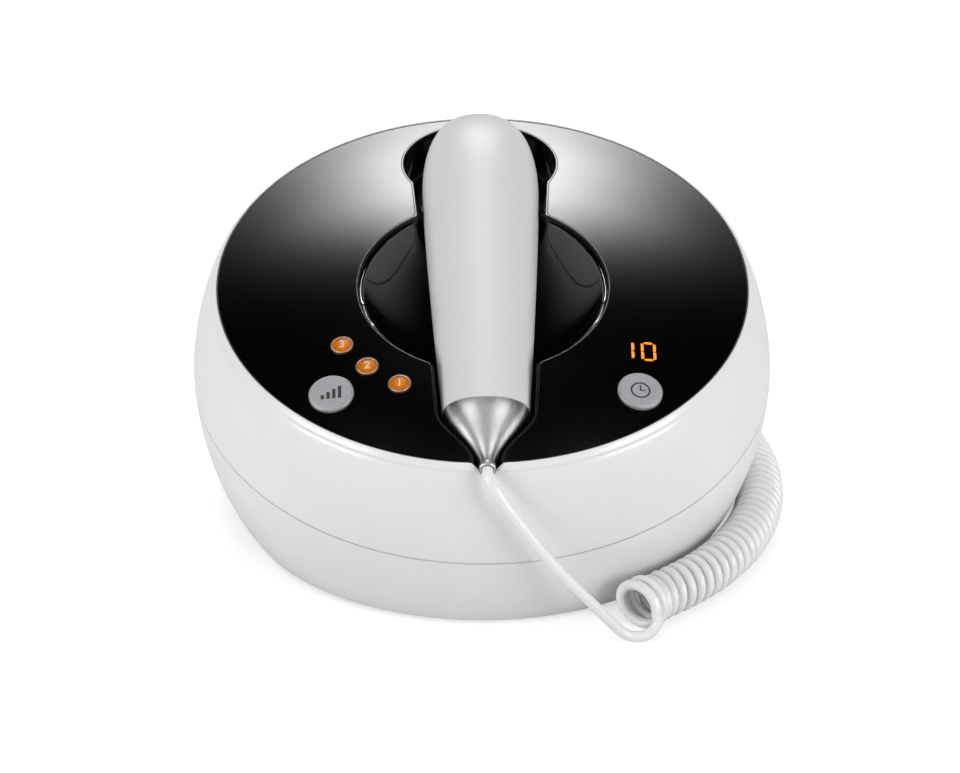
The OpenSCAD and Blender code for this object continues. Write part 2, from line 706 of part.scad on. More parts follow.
// Upper (side 1) or lower (side -1) shell of the handle, split along its centre line and
// open at the cone. Each ring runs along the outside and back along the inside.
module handle_shell(side) {
  h = section_n / 2;
  from = side > 0 ? 0 : h;
  function half(y, t) = let (all = section(y, half_w(y, t), top_h(y, t), bottom_h(y, t)))
    [for (k = [0:h]) all[(from + k) % section_n]];
  function reversed(v) = [for (k = [len(v) - 1:-1:0]) v[k]];
  function along(i, t) = i < 12
    ? tail_y + (head_y - tail_y) * i / 12
    : head_y + (nose_l - t) * min(0.992, 1 - pow(1 - (i - 12) / 11, 1.8));
  loft([for (i = [0:23]) concat(half(along(i, 0), 0),
                                reversed(half(along(i, handle_wall), handle_wall)))],
    head = [for (k = [0:h - 1]) [k, k + 1, 2 * h - k, 2 * h + 1 - k]],
    tail = [[for (k = [0:h]) k], [0, h, h + 1, 2 * h + 1], [for (k = [h + 1:2 * h + 1]) k]]);
}

rib_ys = [-40, -12, 16];
handpiece_board_w = 16;
handpiece_board_t = 1.6;
handpiece_board_drop = 1;        // top of the board below the parting plane

module handle_top_shell() color("white") tilted() handle_shell(1);
module handle_bottom_shell() color("white") tilted() difference() {
  union() {
    handle_shell(-1);
    // ribs that carry the board
    for (y = rib_ys) translate([0, y + 0.6, 0]) rotate([90, 0, 0]) linear_extrude(1.2)
      intersection() {
        polygon([for (q = section(y, half_w(y, handle_wall / 2), top_h(y),
                                  bottom_h(y, handle_wall / 2))) [q[0], q[2]]]);
        translate([-20, -30])
          square([40, 30 + handle_z(y - 0.8) - handpiece_board_drop - handpiece_board_t]);
      }
  }
  translate([0, face_y, -face_z - 10]) cylinder(r = bezel_r, h = 10 + collar_h);
}

module handpiece_board() color("darkgreen") tilted()
  translate([0, tip_y, tip_z]) rotate([handle_pitch, 0, 0])
    translate([-handpiece_board_w / 2, -tip_y + rib_ys[0] - 4,
               -handpiece_board_drop - handpiece_board_t])
      cube([handpiece_board_w, rib_ys[2] - rib_ys[0] + 8, handpiece_board_t]);

function flare(t) = 1 - (t + smooth(t)) / 2;
module tail_cone() color("silver") tilted()
  loft([for (i = [10:-1:0]) let (t = i / 10, y = tail_y - cone_l * t, f = flare(t))
    section(y, tip_r + (tail_w - tip_r) * f, tip_r + (tail_top - tip_r) * f,
            tip_r + (tail_bottom - tip_r) * f)]);

bush_r = 2.4;
bush_l = 2.2;
bush_gap = 0.12;                 // lets the bush's face lean against the cone's end
module cord_bush() color("silver") tilted()
  translate([0, tip_y, tip_z]) rotate([90 + handle_pitch, 0, 0])
    rotate_extrude() polygon([[0, bush_gap], [bush_r - 0.3, bush_gap], [bush_r, 0.4],
      [bush_r, bush_l - 0.3], [bush_r - 0.3, bush_l], [0, bush_l]]);

collar_h = 9;                    // height of the treatment head's ring
shelf_z = 4.4;                   // inner shelf above the ring's rim
module head_bezel() color("silver") tilted()
  translate([0, face_y, -face_z]) rotate_extrude()
    polygon([[bezel_r - bezel_w, 0.5], [bezel_r - bezel_w + 0.5, 0], [bezel_r - 0.7, 0],
      [bezel_r, 0.7], [bezel_r, collar_h], [bezel_r - bezel_w, collar_h],
      [bezel_r - bezel_w, shelf_z + 1], [bezel_r - bezel_w - 1.5, shelf_z + 1],
      [bezel_r - bezel_w - 1.5, shelf_z], [bezel_r - bezel_w, shelf_z]]);

plate_z = 1;                     // electrode plate's face above the ring's rim
module electrode_plate() color("black") tilted()
  translate([0, face_y, -face_z + plate_z])
    cylinder(r = bezel_r - bezel_w, h = shelf_z - plate_z);

module electrode() rotate_extrude($fn = 48)
  polygon(concat([[0, -plate_z], [0.6 * electrode_d / 2, -0.9 * plate_z]],
    [[electrode_d / 2 - 0.3, -0.5 * plate_z], [electrode_d / 2, -0.2], [electrode_d / 2, 0],
     [0, 0]]));
module electrodes() color("silver") tilted()
  translate([0, face_y, -face_z + plate_z]) {
    electrode();
    for (i = [0:electrode_count - 1]) rotate([0, 0, 360 * i / electrode_count])
      translate([0, electrode_pcd / 2, 0]) electrode();
  }

// ---------------------------------------------------------------- cord
coil_x = 0.85;                   // centre of the coil's bend round the base
coil_y = -2.65;
coil_bend = 85.5;
coil_a0 = -52;                   // ends of that bend
coil_a1 = 58;
coil_end = 13;                   // straight part at the front end
cord_sides = 8;

// Tube of diameter d along the points of a route.
module tube(route, d) {
  n = len(route);
  along = [for (i = [0:n - 1])
    let (v = route[min(n - 1, i + 1)] - route[max(0, i - 1)]) v / norm(v)];
  loft([for (i = [0:n - 1]) let (u0 = cross(along[i], [1, 0, 0]), u = u0 / norm(u0),
                                 v = cross(along[i], u))
    [for (k = [0:cord_sides - 1]) let (a = 360 * (k + 0.5) / cord_sides)
      route[i] + d / 2 * (cos(a) * u - sin(a) * v)]]);
}

lead_start = world([0, tip_y - bush_l * cos(handle_pitch), tip_z - bush_l * sin(handle_pitch)]);
lead_dir = [0, -cos(panel_tilt + handle_pitch), -sin(panel_tilt + handle_pitch)];
lead_route = [
  lead_start, lead_start + 1.6 * lead_dir,
  [0.5, -90.4, 57.8], [1.6, -91.7, 55.8], [3.3, -92.4, 53], [5.6, -92.6, 49.4],
  [8.9, -92.5, 44.4], [13.2, -92.2, 38], [17.2, -91.7, 32.2], [21.2, -91.1, 26.8],
  [25.6, -90.2, 21.2], [30, -89.1, 15.8], [34, -87.9, 10.6], [37.4, -86.8, 6.2],
  [40.4, -86, 3], [43.4, -85.6, 1.7], [46.4, -85.4, 1.8], [48.9, -84.7, 3.2],
  [50.2, -83.7, 5.2], [50.3, -82.8, 7.3]
];
tail_route = [
  [gland_x, rear_y + gland_l, rear_z], [gland_x, rear_y + 13, rear_z], [21, 103, 48.2],
  [21, 107.5, 45.4], [21.6, 110.4, 39.4], [22.8, 111.4, 31], [24.8, 110.2, 21.4],
  [28, 106.6, 11.8], [32, 101, 5], [36, 95, 2.3], [40, 89, 1.8], [43.8, 83.4, 1.7],
  [46.6, 78, 1.7], [47.4, 73.6, 2], [46.4, 70.2, 3.2]
];

module cord_lead() color("white") tube(lead_route, cord_d);
module cord_coil() color("white") translate([coil_x, coil_y, coil_d / 2])
  rotate([0, 0, coil_a0]) {
    rotate_extrude(angle = coil_a1 - coil_a0) translate([coil_bend, 0])
      circle(d = coil_d, $fn = 48);
    translate([coil_bend, 0.01, 0]) rotate([90, 0, 0])
      cylinder(d = coil_d, h = coil_end, $fn = 48);
  }
module cord_tail() color("white") tube(tail_route, cord_d);

lower_shell();
upper_shell();
top_panel();
cradle_tray();
level_lenses();
lens_rings();
display_module();
control_board();
tact_switches();
indicator_leds();
board_screws();
main_board();
rf_transformer();
capacitors();
heat_sink();
dc_inlet();
dc_pin();
rocker_housing();
power_rocker();
rubber_feet();
case_screws();
cord_gland();
level_button();
level_plunger();
time_button();
time_plunger();
handle_top_shell();
handle_bottom_shell();
tail_cone();
cord_bush();
head_bezel();
electrode_plate();
electrodes();
handpiece_board();
cord_lead();
cord_coil();
cord_tail();
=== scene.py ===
"""Facial toning device: the finishes, skins, cord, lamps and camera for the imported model.

Lengths are in millimetres in the named values below and become metres in the mesh
helpers. Two frames are used, as in the part's source. The world frame has the floor at
z = 0 and the front at -y. The panel frame has its z axis along the panel's normal and its
origin at the centre of the panel's edge; panel_matrix() takes it into the world, in metres.
"""
import json
import math

import bmesh
import bpy
from mathutils import Matrix, Vector


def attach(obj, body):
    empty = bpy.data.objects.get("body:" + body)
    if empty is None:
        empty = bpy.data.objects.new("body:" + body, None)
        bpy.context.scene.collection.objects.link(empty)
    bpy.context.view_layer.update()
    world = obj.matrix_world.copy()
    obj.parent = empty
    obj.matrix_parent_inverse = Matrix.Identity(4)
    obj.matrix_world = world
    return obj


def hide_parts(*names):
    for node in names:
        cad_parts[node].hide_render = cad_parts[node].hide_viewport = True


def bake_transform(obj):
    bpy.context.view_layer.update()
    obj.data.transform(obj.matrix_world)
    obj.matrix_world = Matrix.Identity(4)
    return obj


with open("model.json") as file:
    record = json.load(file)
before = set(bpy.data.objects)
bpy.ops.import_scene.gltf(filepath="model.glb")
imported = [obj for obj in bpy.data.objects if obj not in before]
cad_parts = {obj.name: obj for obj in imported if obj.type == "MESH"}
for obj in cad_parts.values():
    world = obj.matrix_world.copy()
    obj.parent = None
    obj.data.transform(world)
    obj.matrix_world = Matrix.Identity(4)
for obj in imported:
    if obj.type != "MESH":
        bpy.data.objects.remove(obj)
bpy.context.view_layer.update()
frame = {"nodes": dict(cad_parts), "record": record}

# ---------------------------------------------------------------- the part's own sizes
PANEL_TILT = math.radians(14)
PANEL_H = 80
AXIS_Y = -7.945                # world y of the panel's centre
PANEL_R, PANEL_T = 80, 2.2
DOME_R = 360
DOME_BASE = math.sqrt(DOME_R**2 - PANEL_R**2)

GIRTH_R, GIRTH_Z, SEAM_Z, SHOULDER_EXP = 88.5, 31, 33, 1.5
BELLY_R, BELLY_Z, BELLY_EXP = 59, 88, 1.89

POCKET_R, POCKET_Y = 23.9, 52.8
DISH_R, DISH_Y, DISH_DEPTH = 37.6, -9, 14
CHANNEL_W0, CHANNEL_W1, CHANNEL_W2, CHANNEL_DEPTH = 20.9, 14.5, 4.1, 10
NECK_Y, CLOSE_Y, CLOSE_L = 42, -61.5, 18
WELL_R, WELL_Z = 13.4, -17
SADDLE_Y, SADDLE_W, SADDLE_Z = -48, 8, -6.9
REST_GAP = 0.3                 # what the handpiece keeps from its rests

BUTTON_R, BUTTON_A = 69.4, 40.7
LENS_R, LENS_SKEW, LENS_A, LENS_STEP = 55.4, 1.3, 38.8, 12.4
DISPLAY_R, DISPLAY_A = 59.5, 52

HEAD_W, TAIL_W, HEAD_TOP, TAIL_TOP = 17.9, 12.8, 14, 7.4
GRIP_BOTTOM, TAIL_BOTTOM, HEAD_BOTTOM = 8.6, 7, 13.4
TIP_Z, TIP_Y, TIP_R, CONE_L = -0.8, -80, 2.15, 20
HEAD_Y, NOSE_L, FACE_Y, FACE_Z = 36, 38.2, 50, 12
HANDLE_PITCH = math.radians(2.5)
TAIL_Y = TIP_Y + CONE_L
BUSH_R, BUSH_L = 2.4, 2.2

CORD_D, COIL_D, COIL_TURNS = 3.2, 14.8, 48.75
COIL_X, COIL_Y, COIL_BEND = 0.85, -2.65, 85.5
COIL_A0, COIL_A1 = math.radians(-52), math.radians(58)
COIL_OUT, COIL_OUT_BEND = math.radians(20), 38     # the near end curves off the base
COIL_END_L = COIL_OUT_BEND * COIL_OUT
COIL_L = COIL_END_L + COIL_BEND * (COIL_A1 - COIL_A0)


def mm(p):
    """A point in millimetres as one in metres."""
    return Vector(p) / 1000


def panel_matrix():
    """Places a mesh made in the panel frame, in millimetres, into the world, in metres."""
    return (Matrix.Translation(mm((0, AXIS_Y, PANEL_H)))
            @ Matrix.Rotation(PANEL_TILT, 4, "X") @ Matrix.Scale(0.001, 4))


def dome_z(r, sink=0):
    """Height of the panel's dome at that radius, or of a face that far below it."""
    return math.sqrt((DOME_R - sink) ** 2 - r * r) - DOME_BASE


def smooth(t):
    """0 to 1 with soft ends."""
    t = min(1.0, max(0.0, t))
    return t * t * (3 - 2 * t)


# ---------------------------------------------------------------- materials
NOISE_SPAN = (0.3, 0.7)        # values that a noise texture mostly stays between
CLOUD, RIPPLE = 40, 60         # features per metre of the colour clouds and the ripple
COAT_ROUGH = 0.13


def add_node(tree, kind, inputs, **settings):
    """A shader node with its settings, its inputs set to values or linked to sockets."""
    node = tree.nodes.new("ShaderNode" + kind)
    for key, value in settings.items():
        setattr(node, key, value)
    for key, value in inputs.items():
        if isinstance(value, bpy.types.NodeSocket):
            tree.links.new(value, node.inputs[key])
        else:
            node.inputs[key].default_value = value
    return node


def calc(tree, operation, *values, clamp=False):
    """A Math node on sockets or numbers, returning its output."""
    return add_node(tree, "Math", dict(enumerate(values)), operation=operation,
                    use_clamp=clamp).outputs["Value"]


looks = {}                     # materials by the name that this script gives them


class Look:
    """A material with short calls for what this scene gives its shader."""

    def __init__(self, name):
        self.mat = bpy.data.materials.new(name)
        looks[name] = self.mat
        self.mat.use_nodes = True
        self.tree = self.mat.node_tree
        self.shader = self.tree.nodes["Principled BSDF"]
        self.coords = add_node(self.tree, "TexCoord", {}).outputs

    def put(self, socket, value):
        self.shader.inputs[socket].default_value = value
        return self

    def link(self, socket, source):
        self.tree.links.new(source, self.shader.inputs[socket])
        return self

    def noise(self, scale, detail=2.0, stretch=(1, 1, 1)):
        """Noise over the object, scale in features per metre."""
        place = add_node(self.tree, "Mapping",
                         {"Vector": self.coords["Object"], "Scale": stretch})
        return add_node(self.tree, "TexNoise",
                        {"Vector": place.outputs["Vector"], "Scale": scale,
                         "Detail": detail}).outputs["Fac"]

    def span(self, fac, low, high):
        """Turns a noise value into low to high."""
        return add_node(self.tree, "MapRange",
                        {"From Min": NOISE_SPAN[0], "From Max": NOISE_SPAN[1], "To Min": low,
                         "To Max": high, "Value": fac}).outputs["Result"]

    def tint(self, fac, low, high):
        """Base colour that varies from low to high."""
        mix = add_node(self.tree, "Mix", {"A": (*low, 1), "B": (*high, 1),
                                          "Factor": self.span(fac, 0, 1)}, data_type="RGBA")
        return self.link("Base Color", mix.outputs["Result"])

    def rough(self, fac, low, high):
        return self.link("Roughness", self.span(fac, low, high))

    def bump(self, fac, height):
        """Bumps of that height in metres."""
        bump = add_node(self.tree, "Bump", {"Distance": height, "Strength": 1.0, "Height": fac})
        return self.link("Normal", bump.outputs["Normal"])


def shade(colour, share):
    return tuple(c * share for c in colour)


def plastic(name, colour, rough, spread=0.02, ripple=0.0, grain=900, coat=0.0, ior=1.5):
    """Moulded plastic: an even colour, faint cloudiness in the gloss, a trace of ripple."""
    n = Look(name)
    n.tint(n.noise(CLOUD), shade(colour, 0.97), colour)
    n.rough(n.noise(grain, 3), rough - spread, rough + spread)
    n.put("IOR", ior)
    if coat:
        n.put("Coat Weight", coat).put("Coat Roughness", COAT_ROUGH)
    if ripple:
        n.bump(n.noise(RIPPLE, 1), ripple)


def metal(name, colour, rough, stretch=(1, 1, 1), grain=2500, height=0.000002, metallic=1.0):
    """Metal with fine marks, drawn out where stretch is small."""
    n = Look(name)
    marks = n.noise(grain, 4, stretch)
    n.tint(marks, shade(colour, 0.88), colour).rough(marks, rough * 0.9, rough * 1.15)
    n.put("Metallic", metallic)
    if height:
        n.bump(marks, height)


def lit(name, colour, strength, rough):
    """Something that glows through its own coloured plastic, unevenly."""
    n = Look(name)
    n.tint(n.noise(700, 1), shade(colour, 0.75), colour)
    n.rough(n.noise(1500), rough * 0.8, rough * 1.2)
    n.put("Emission Color", (*colour, 1)).put("Emission Strength", strength)


def lit_lens(name):
    """Amber lens over a lamp: brightest low in its middle, darker to the rim, with ribs."""
    n = Look(name)
    from_lamp = add_node(n.tree, "Mapping", {"Vector": n.coords["Generated"],
                                             "Location": (-0.5, -0.4, -0.5),
                                             "Scale": (1, 1, 0.2)})
    far = add_node(n.tree, "VectorMath", {0: from_lamp.outputs["Vector"]}, operation="LENGTH")
    ramp = add_node(n.tree, "ValToRGB", {"Fac": far.outputs["Value"]})
    stops = ((0.02, (1, 0.42, 0.0, 1)), (0.47, (0.33, 0.09, 0.0, 1)))
    for element, (position, colour) in zip(ramp.color_ramp.elements, stops):
        element.position, element.color = position, colour
    n.link("Emission Color", ramp.outputs["Color"])
    ribs = n.noise(2600, 1, (1, 0.15, 1))
    n.tint(ribs, (0.2, 0.035, 0), (0.3, 0.06, 0)).rough(ribs, 0.29, 0.4).bump(ribs, 0.00002)
    n.put("Emission Strength", 0.85).put("Specular IOR Level", 0.12)


# Name, colour and roughness. The black pieces' higher ior sets how strongly they mirror.
# The roughness of what is in view stays on one side of 0.27, where the renderer's
# denoiser starts to treat gloss in another way: noise that crosses it shows as specks.
plastic("white_shell", (0.79, 0.8, 0.815), 0.295, 0.012, ripple=0.00002, coat=0.4)
plastic("black_panel", (0.001, 0.001, 0.0012), 0.1, 0.012, ior=2.2)
plastic("black_tray", (0.0015, 0.0015, 0.0018), 0.06, 0.015, ior=2.0)
plastic("panel_edge", (0.004, 0.004, 0.0045), 0.25)
# painted shade in the gap at the panel's rim
plastic("seam_shadow", (0.06, 0.06, 0.064), 0.7, 0.05)
# painted shade on the floor of the groove between the shells
plastic("seam_shade_grey", (0.42, 0.42, 0.43), 0.7, 0.05)
plastic("numeral", (0.6, 0.56, 0.52), 0.33, 0.03)
plastic("button_mark", (0.02, 0.02, 0.022), 0.5, 0.05)
plastic("dark_module", (0.02, 0.02, 0.022), 0.5, 0.08)
plastic("board", (0.01, 0.12, 0.04), 0.35, 0.06)
plastic("led", (0.9, 0.75, 0.5), 0.2)
plastic("ferrite", (0.05, 0.045, 0.045), 0.6, 0.08)
plastic("capacitor_sleeve", (0.01, 0.015, 0.06), 0.3)
plastic("black_plastic", (0.012, 0.012, 0.013), 0.42, 0.06)
plastic("black_gloss", (0.006, 0.006, 0.007), 0.15)
plastic("rubber", (0.06, 0.06, 0.062), 0.75, 0.1)
plastic("white_flexible", (0.78, 0.79, 0.8), 0.45, 0.06)
plastic("white_handle", (0.65, 0.655, 0.67), 0.36, 0.03)
plastic("white_cord", (0.84, 0.845, 0.85), 0.22, 0.04, grain=2500, coat=0.4)
metal("lens_ring", (0.22, 0.11, 0.04), 0.4)
metal("bright_ring", (0.6, 0.61, 0.63), 0.45)
metal("steel", (0.55, 0.55, 0.57), 0.35)
metal("bare_aluminium", (0.75, 0.76, 0.78), 0.3, (1, 0.05, 1))
metal("contact_metal", (0.78, 0.7, 0.5), 0.2)
metal("silver_button", (0.4, 0.4, 0.42), 0.45, height=0.000006, metallic=0.35)
metal("brushed_cone", (0.7, 0.7, 0.71), 0.31, (1, 0.03, 1), 800, 0)
metal("electrode_metal", (0.8, 0.74, 0.62), 0.18)
lit("amber_segment", (1.0, 0.21, 0.002), 1.1, 0.36)
lit_lens("amber_lens")


def paint(obj, look):
    obj.data.materials.clear()
    obj.data.materials.append(looks[look])


# ---------------------------------------------------------------- mesh helpers
WELD = 2e-6                    # points closer than this become one, in metres


def tidy_mesh(mesh):
    """Welds coincident points, which drops empty faces, and turns a closed skin outward."""
    work = bmesh.new()
    work.from_mesh(mesh)
    bmesh.ops.remove_doubles(work, verts=work.verts, dist=WELD)
    if all(e.is_manifold for e in work.edges):
        bmesh.ops.recalc_face_normals(work, faces=work.faces)
    work.to_mesh(mesh)
    work.free()
    mesh.update()


def link_object(name, data):
    obj = bpy.data.objects.new(name, data)
    bpy.context.scene.collection.objects.link(obj)
    return obj


def new_object(name, skin, look, body, replaced=(), matrix=None, crease=None, flat=False):
    """A mesh of points and faces, painted, riding on its body and standing for nodes.

    The matrix places it in the world; without one the skin is in the panel frame. Edges
    sharper than crease, in degrees, stay sharp.
    """
    verts, faces = skin
    mesh = bpy.data.meshes.new(name)
    mesh.from_pydata([tuple(v) for v in verts], [], faces)
    mesh.transform(matrix if matrix else panel_matrix())
    tidy_mesh(mesh)
    for p in mesh.polygons:
        p.use_smooth = not flat
    obj = link_object(name, mesh)
    paint(obj, look)
    if body:
        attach(obj, body)
    if replaced:
        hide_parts(*replaced)
    if crease:
        bpy.context.view_layer.objects.active = obj
        obj.select_set(True)
        bpy.ops.object.shade_smooth_by_angle(angle=math.radians(crease))
        obj.select_set(False)
    return obj


def strip_faces(rows, count, closed=True):
    """Quads between rows of count points each."""
    out = []
    for i in range(rows - 1):
        for k in range(count if closed else count - 1):
            a, b = i * count + k, i * count + (k + 1) % count
            out.append((a, b, b + count, a + count))
    return out


def lofted(rings, caps=(True, True), closed=True):
    """Points and faces of a skin through rings, which are open arcs where not closed."""
    count = len(rings[0])
    verts = [p for ring in rings for p in ring]
    faces = strip_faces(len(rings), count, closed)
    if caps[0]:
        faces.append(tuple(range(count - 1, -1, -1)))
    if caps[1]:
        last = (len(rings) - 1) * count
        faces.append(tuple(range(last, last + count)))
    return verts, faces


def lathed(profile, count, hollow=False):
    """Points and faces of a profile of (radius, height) turned about the z axis."""
    turn = [2 * math.pi * k / count for k in range(count)]
    rings = [[Vector((r * math.cos(a), r * math.sin(a), z)) for a in turn]
             for r, z in profile]
    caps = [not hollow and end[0] > 0 for end in (profile[0], profile[-1])]
    return lofted(rings, caps)


def swept(path, radius, sides):
    """Points and faces of a tube along a path, kept from twisting."""
    rings, side = [], None
    for i, p in enumerate(path):
        ahead, behind = path[min(i + 1, len(path) - 1)], path[max(i - 1, 0)]
        along = (ahead - behind).normalized()
        if side is None:
            side = along.cross(Vector((0, 0, 1)))
        side = (side - along * side.dot(along)).normalized()
        up = side.cross(along)
        rings.append([p + radius * (math.cos(2 * math.pi * k / sides) * side
                                    + math.sin(2 * math.pi * k / sides) * up)
                      for k in range(sides)])
    return lofted(rings)


def spline(points, per_span):
    """A smooth path through points, as a uniform Catmull-Rom curve."""
    pts = [Vector(p) for p in points]
    pts = [2 * pts[0] - pts[1]] + pts + [2 * pts[-1] - pts[-2]]
    out = []
    for i in range(1, len(pts) - 2):
        a, b, c, d = pts[i - 1:i + 3]
        for k in range(per_span):
            t = k / per_span
            out.append(0.5 * (2 * b + (c - a) * t + (2 * a - 5 * b + 4 * c - d) * t * t
                              + (3 * b - a - 3 * c + d) * t * t * t))
    out.append(pts[-2])
    return out


# ---------------------------------------------------------------- camera
SENSOR = 36
FOCAL_PX, IMAGE_W = 4228.6, 960
EYE = (-21.4, -1155.95, 645.7)
LOOK_DOWN, LOOK_RIGHT = math.radians(27.63), math.radians(1.03)

camera = bpy.data.cameras.new("camera")
camera.sensor_width = SENSOR
camera.lens = FOCAL_PX / IMAGE_W * SENSOR
camera.clip_start, camera.clip_end = 0.05, 20
eye = link_object("camera", camera)
eye.location = mm(EYE)
eye.rotation_euler = (math.pi / 2 - LOOK_DOWN, 0, -LOOK_RIGHT)
bpy.context.scene.camera = eye

# ---------------------------------------------------------------- cord
PER_TURN, PER_SPAN, CORD_SIDES = 20, 6, 20
FLARE_START, FLARE_MORE = 0.5, 0.7     # how much wider the near end is, after half a turn
FLARE_TURNS, FLARE_FADE = 2.6, 2.1     # where the wider turns end, and over how many

bush_end = panel_matrix() @ Vector((0, TIP_Y - BUSH_L * math.cos(HANDLE_PITCH),
                                    TIP_Z - BUSH_L * math.sin(HANDLE_PITCH))) * 1000
lean = PANEL_TILT + HANDLE_PITCH
lead_dir = Vector((0, -math.cos(lean), -math.sin(lean)))
lead_points = [bush_end, bush_end + 1.6 * lead_dir] + [Vector(p) for p in (
    (0.5, -90.4, 57.8), (1.6, -91.7, 55.8), (3.3, -92.4, 53), (5.6, -92.6, 49.4),
    (8.9, -92.5, 44.4), (13.2, -92.2, 38), (17.2, -91.7, 32.2), (21.2, -91.1, 26.8),
    (25.6, -90.2, 21.2), (30, -89.1, 15.8), (34, -87.9, 10.6), (37.4, -86.8, 6.2),
    (40.4, -86, 3), (43.4, -85.6, 1.7), (46.4, -85.4, 1.8), (48.9, -84.7, 3.2),
    (50.2, -83.7, 5.2))]
tail_points = [Vector(p) for p in (
    (21, 95, 49), (21, 99, 49), (21, 103, 48.2), (21, 107.5, 45.4), (21.6, 110.4, 39.4),
    (22.8, 111.4, 31), (24.8, 110.2, 21.4), (28, 106.6, 11.8), (32, 101, 5), (36, 95, 2.3),
    (40, 89, 1.8), (43.8, 83.4, 1.7), (46.6, 78, 1.65), (47.4, 73.6, 1.65))]


def coil_centre(along):
    """A point of the coil's centre line and its outward direction, from the near end on."""
    hub = Vector((COIL_X, COIL_Y, COIL_D / 2))
    if along >= COIL_END_L:
        a = COIL_A0 + (along - COIL_END_L) / COIL_BEND
        out = Vector((math.cos(a), math.sin(a), 0))
        return hub + COIL_BEND * out, out
    hub += (COIL_BEND + COIL_OUT_BEND) * Vector((math.cos(COIL_A0), math.sin(COIL_A0), 0))
    b = COIL_A0 + math.pi + (COIL_END_L - along) / COIL_OUT_BEND
    back = Vector((math.cos(b), math.sin(b), 0))
    return hub + COIL_OUT_BEND * back, -back


def coil_point(turn):
    """A point of the winding, which lies on the floor; turn 0 is the front end."""
    centre, out = coil_centre(COIL_L * turn / COIL_TURNS)
    flared = ((FLARE_START + FLARE_MORE * smooth(2 * turn))
              * smooth((FLARE_TURNS - turn) / FLARE_FADE))
    r = (COIL_D - CORD_D) / 2 + flared
    phase = math.pi / 2 + 2 * math.pi * turn
    return (centre + Vector((0, 0, flared))
            + r * (math.sin(phase) * out - math.cos(phase) * Vector((0, 0, 1))))


coil_points = [coil_point(COIL_TURNS - i / PER_TURN)
               for i in range(int(COIL_TURNS * PER_TURN) + 1)]
curly_path = spline(tail_points + [coil_points[0]], PER_SPAN)[:-1] + coil_points
curve = bpy.data.curves.new("curly_cord", "CURVE")
curve.dimensions = "3D"
curve.bevel_depth = CORD_D / 2000
curve.bevel_resolution = 4
curve.use_fill_caps = True
line = curve.splines.new("POLY")
line.points.add(len(curly_path) - 1)
for point, place in zip(line.points, curly_path):
    point.co = (*mm(place), 1)
line.use_smooth = True
curly_cord = link_object("curly_cord", curve)
paint(curly_cord, "white_cord")
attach(curly_cord, "base")
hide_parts("cord_coil", "cord_tail")

lead_path = spline(lead_points + [coil_points[-1]], PER_SPAN)
lead = new_object("lead_cord", swept(lead_path, CORD_D / 2, CORD_SIDES), "white_cord", None,
                  ("cord_lead",), Matrix.Scale(0.001, 4))
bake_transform(lead)

# ---------------------------------------------------------------- handpiece
SECTION_EXP, SECTION_N = 2.3, 96
GRIP_RINGS, NOSE_RINGS, CONE_RINGS = 48, 40, 40
TAPER_EXP, NOSE_W_EXP, NOSE_TOP_EXP, NOSE_BOTTOM_EXP = 1.25, 2.3, 0.75, 3
GRIP_L, HEAD_START, HEAD_L = 60, 29, 11    # where the underside swells to grip and head
NOSE_CROWD, NOSE_END = 1.8, 0.9995         # rings crowd to the nose's end and stop short
CONE_GAP = 0.15                # what the cone and the shells keep from the line between them
PART_GAP = 0.12                # half width of the groove between the two shells
TURNED_IN = 0.94               # width at the inside of that groove, as a share
CORE_W, CORE_H, CORE_PAST = 0.965, 0.955, 0.4


def handle_z(y):
    return TIP_Z + (y - TIP_Y) * math.tan(HANDLE_PITCH)


def nose_u(y, start):
    """0 at start to 1 at the end of the nose."""
    return min(1.0, max(0.0, (y - start) / (HEAD_Y + NOSE_L - start)))


def half_w(y):
    if y < HEAD_Y:
        share = ((HEAD_Y - y) / (HEAD_Y - TAIL_Y)) ** TAPER_EXP
        return HEAD_W - (HEAD_W - TAIL_W) * share
    return HEAD_W * math.sqrt(1 - nose_u(y, HEAD_Y) ** NOSE_W_EXP)


def top_h(y):
    if y < HEAD_Y:
        return HEAD_TOP - (HEAD_TOP - TAIL_TOP) * (HEAD_Y - y) / (HEAD_Y - TAIL_Y)
    return HEAD_TOP * (1 - nose_u(y, HEAD_Y) ** 2) ** NOSE_TOP_EXP


def bottom_h(y):
    full = (TAIL_BOTTOM + (GRIP_BOTTOM - TAIL_BOTTOM) * smooth((y - TAIL_Y) / GRIP_L)
            + (HEAD_BOTTOM - GRIP_BOTTOM) * smooth((y - HEAD_START) / HEAD_L))
    return full * math.sqrt(1 - nose_u(y, FACE_Y + 2) ** NOSE_BOTTOM_EXP)


def bend(c):
    return math.copysign(abs(c) ** (2 / SECTION_EXP), c)


def section(y, w, up, down, side=0):
    """A cross-section of the handle: all of it, or the top (1) or bottom (-1) half."""
    first = SECTION_N // 2 if side < 0 else 0
    out = []
    for k in range(first, first + (SECTION_N // 2 + 1 if side else SECTION_N)):
        a = 2 * math.pi * k / SECTION_N
        s, c = math.sin(a), math.cos(a)
        z = handle_z(y) + (up if s > 0 else down) * bend(s) + side * PART_GAP
        out.append(Vector((w * bend(c), y, z)))
    return out


def handle_ys():
    first = TAIL_Y + CONE_GAP
    grip = [first + (HEAD_Y - first) * i / GRIP_RINGS for i in range(GRIP_RINGS)]
    nose = [HEAD_Y + NOSE_L * (1 - (1 - j / NOSE_RINGS) ** NOSE_CROWD)
            for j in range(NOSE_RINGS)]
    return grip + nose + [HEAD_Y + NOSE_L * NOSE_END]


for name, side in (("top", 1), ("bottom", -1)):
    # the outer skin of one shell, turned in at the groove and closed at its ends
    rings = []
    for y in handle_ys():
        ring = section(y, half_w(y), top_h(y), bottom_h(y), side)
        inner = [Vector((p.x * TURNED_IN, p.y, p.z)) for p in (ring[0], ring[-1])]
        rings.append([inner[0]] + ring + [inner[1]])
    new_object("handle_skin_" + name, lofted(rings, closed=False), "white_handle",
               "handpiece", ("handle_" + name + "_shell",), crease=40)
